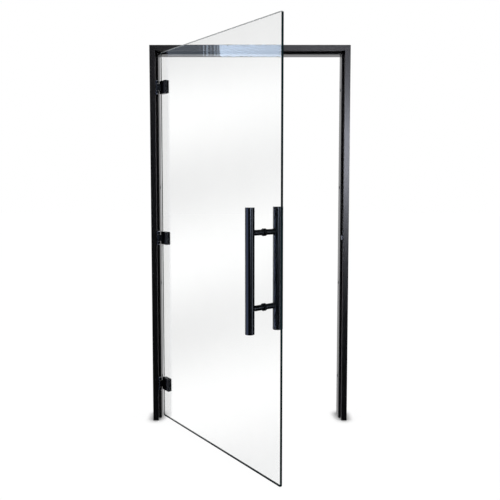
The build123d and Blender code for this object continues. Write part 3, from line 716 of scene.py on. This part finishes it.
def reflector_shader(start):
    """A pale blue panel with a streaked end and a dim stretch behind that."""
    place = start.places()
    back = place.dot(BACK)
    streak = place.stretched((1.0, 1.0, 0.02)).noise(60.0).between(0.45, 0.6)
    streaked = 1.0 - back.between(*STREAKS_TO)
    dimmed = back.between(*DIM_FROM)
    strength = 1.0 - dimmed * (1.0 - DIM_SHARE - STREAK_SHARE * streak * streaked)
    values = {"Color": REFLECTOR_BLUE, "Strength": strength * REFLECTOR_STRENGTH}
    return start.node("ShaderNodeEmission", inputs=values)


def glow_shader(start):
    """A white glow that fades out from its middle."""
    place = start.places()
    across = (place.dot(RIGHT) - GLOW_CENTRE[0]) * (2 / GLOW_SIZE[0])
    rise = (place.dot(UP) - GLOW_CENTRE[2]) * (2 / GLOW_SIZE[1])
    spread = across * across + rise * rise
    fade = spread.math("POWER", 1.0 + spread * GLOW_FALL, -2.0) * (1.0 - spread.between(*GLOW_RIM))
    values = {"Color": GLOW_WHITE, "Strength": fade * GLOW_STRENGTH}
    return start.node("ShaderNodeEmission", inputs=values)


def surround_gloss(way):
    """Strength of what gloss mirrors in a direction, and how much of it is the blue left panel."""
    # Every range below is of one component of the direction, from -1 to 1.
    side = way.dot(RIGHT)
    back = way.dot(BACK)
    rise = way.dot(UP)
    leftward = (side * -1.0).between(0.0, 0.4)
    turn = (rise + back * BAND_LEAN - BAND_START) * (math.tau / BAND_PITCH)
    bands = BAND_MEAN + BAND_SWING * turn.math("COSINE", turn, 0.0)
    beside = leftward * back.between(0.08, 0.2) * (1.0 - rise.between(0.13, 0.26))
    behind = back.between(0.75, 0.95)
    level = 1.0 - rise.math("ABSOLUTE", rise, 0.0).between(0.25, 0.5)
    left_depth = back.between(-0.85, -0.6) * (1.0 - back.between(-0.05, 0.1))
    left_panel = leftward * left_depth * level
    right_depth = back.between(-0.65, -0.5) * (1.0 - back.between(-0.35, -0.15))
    right_panel = side.between(0.0, 0.4) * right_depth * level
    wall = DARK_SHARE + (1.0 - DARK_SHARE) * behind + (1.0 - behind) * beside * bands
    gloss = wall + LEFT_PANEL_STRENGTH * left_panel + RIGHT_PANEL_STRENGTH * right_panel
    return gloss, left_panel


def add_backdrop(name, shape, material):
    """Makes a stage object of a finished bmesh."""
    backdrop = add_object(name, shape, material)
    return backdrop


def add_card(name, place, material):
    """A glowing card that only gloss shows."""
    shape = bmesh.new()
    bmesh.ops.create_grid(shape, x_segments=1, y_segments=1, size=0.5)
    bmesh.ops.transform(shape, matrix=place, verts=shape.verts)
    card = add_backdrop(name, shape, material)
    card.visible_camera = False
    card.visible_diffuse = False
    card.visible_transmission = False
    card.visible_shadow = False


class StageOperator(bpy.types.Operator):
    """Sets the floor, the soft light and the camera."""

    bl_idname = "glass_door.stage"
    bl_label = "Stage"

    def execute(self, context):
        stage = context.scene.door_stage
        self.add_floor(stage)
        self.add_cards()
        self.set_world(context.scene)
        self.add_lamp(context.scene)
        self.add_camera(context.scene, stage)
        context.scene.view_settings.view_transform = "Standard"
        return {"FINISHED"}

    def add_floor(self, stage):
        """A wide floor under the door."""
        shape = bmesh.new()
        bmesh.ops.create_grid(shape, x_segments=1, y_segments=1, size=stage.floor_size / 2)
        add_backdrop("floor", shape, material_of("floor_white", floor_shader))

    def add_cards(self):
        """The blue card on the left and the white card on the right."""
        size = Matrix.Diagonal((REFLECTOR_HEIGHT, REFLECTOR_LENGTH, 1.0, 1.0))
        stand = Matrix.Rotation(REFLECTOR_TILT, 4, "X") @ Matrix.Rotation(math.pi / 2, 4, "Y") @ size
        place = Matrix.Translation(REFLECTOR_CENTRE) @ stand
        add_card("reflector", place, material_of("reflector_blue", reflector_shader))
        size = Matrix.Diagonal((*GLOW_SIZE, 1.0, 1.0))
        place = Matrix.Translation(GLOW_CENTRE) @ Matrix.Rotation(math.pi / 2, 4, "X") @ size
        add_card("glow", place, material_of("glow_white", glow_shader))

    def set_world(self, scene):
        """A surround that is white to look at, banded in gloss and even for matt surfaces."""
        world = bpy.data.worlds.new("white_surround")
        world.use_nodes = True
        world.node_tree.nodes.clear()
        start = Flow(world.node_tree)
        seen, glossy = ray_kinds(start)
        gloss, left_panel = surround_gloss(start.node("ShaderNodeTexCoord", output="Generated"))
        strength = seen + (1.0 - seen) * (glossy * gloss + (1.0 - glossy) * MATT_LIGHT)
        values = {"Color": (glossy * left_panel).mix(WHITE, LEFT_PANEL_BLUE), "Strength": strength}
        surround = start.node("ShaderNodeBackground", inputs=values)
        start.node("ShaderNodeOutputWorld", inputs={"Surface": surround})
        scene.world = world

    def add_lamp(self, scene):
        """A soft lamp in front, which glass doesn't show from behind."""
        lamp = bpy.data.lights.new("top_soft", "AREA")
        lamp.shape = "RECTANGLE"
        lamp.size, lamp.size_y = LAMP_SIZE
        lamp.energy = LAMP_WATTS
        holder = bpy.data.objects.new("top_soft", lamp)
        holder.location = LAMP_PLACE
        aim = Vector(LAMP_TARGET) - Vector(LAMP_PLACE)
        holder.rotation_euler = aim.to_track_quat("-Z", "Y").to_euler()
        holder.visible_transmission = False
        scene.collection.objects.link(holder)

    def add_camera(self, scene, stage):
        """The camera in front of the door, a little above its middle."""
        lens = bpy.data.cameras.new("camera")
        lens.sensor_width = PICTURE_WIDTH_MM
        lens.lens = stage.camera_lens
        lens.shift_y = stage.camera_shift
        camera = bpy.data.objects.new("camera", lens)
        camera.location = (0.0, -stage.camera_distance, stage.camera_height)
        camera.rotation_euler = (math.pi / 2 - stage.camera_tilt, 0.0, 0.0)
        scene.collection.objects.link(camera)
        scene.camera = camera


OPERATORS = (
    FrameOperator,
    SealOperator,
    HingeOperator,
    GlassOperator,
    HandleOperator,
    CatchOperator,
    StageOperator,
)


class DoorPanel(bpy.types.Panel):
    """Lists the door's pieces and settings in the sidebar."""

    bl_idname = "VIEW3D_PT_glass_door"
    bl_label = "Glass door"
    bl_space_type = "VIEW_3D"
    bl_region_type = "UI"
    bl_category = "Glass door"

    def draw(self, context):
        for settings in (context.scene.door_finish, context.scene.door_stage):
            box = self.layout.box()
            for name in settings.__annotations__:
                box.prop(settings, name)
        for operator in OPERATORS:
            self.layout.operator(operator.bl_idname)


CLASSES = (FinishSettings, StageSettings, *OPERATORS, DoorPanel)


def register():
    for made in CLASSES:
        bpy.utils.register_class(made)
    bpy.types.Scene.door_finish = PointerProperty(type=FinishSettings)
    bpy.types.Scene.door_stage = PointerProperty(type=StageSettings)


def unregister():
    del bpy.types.Scene.door_stage
    del bpy.types.Scene.door_finish
    for made in reversed(CLASSES):
        bpy.utils.unregister_class(made)


def main():
    register()
    bpy.ops.glass_door.frame()
    bpy.ops.glass_door.seals()
    bpy.ops.glass_door.hinges()
    bpy.ops.glass_door.glass()
    bpy.ops.glass_door.handle()
    bpy.ops.glass_door.catch()
    bpy.ops.glass_door.stage()


if __name__ == "__main__":
    main()
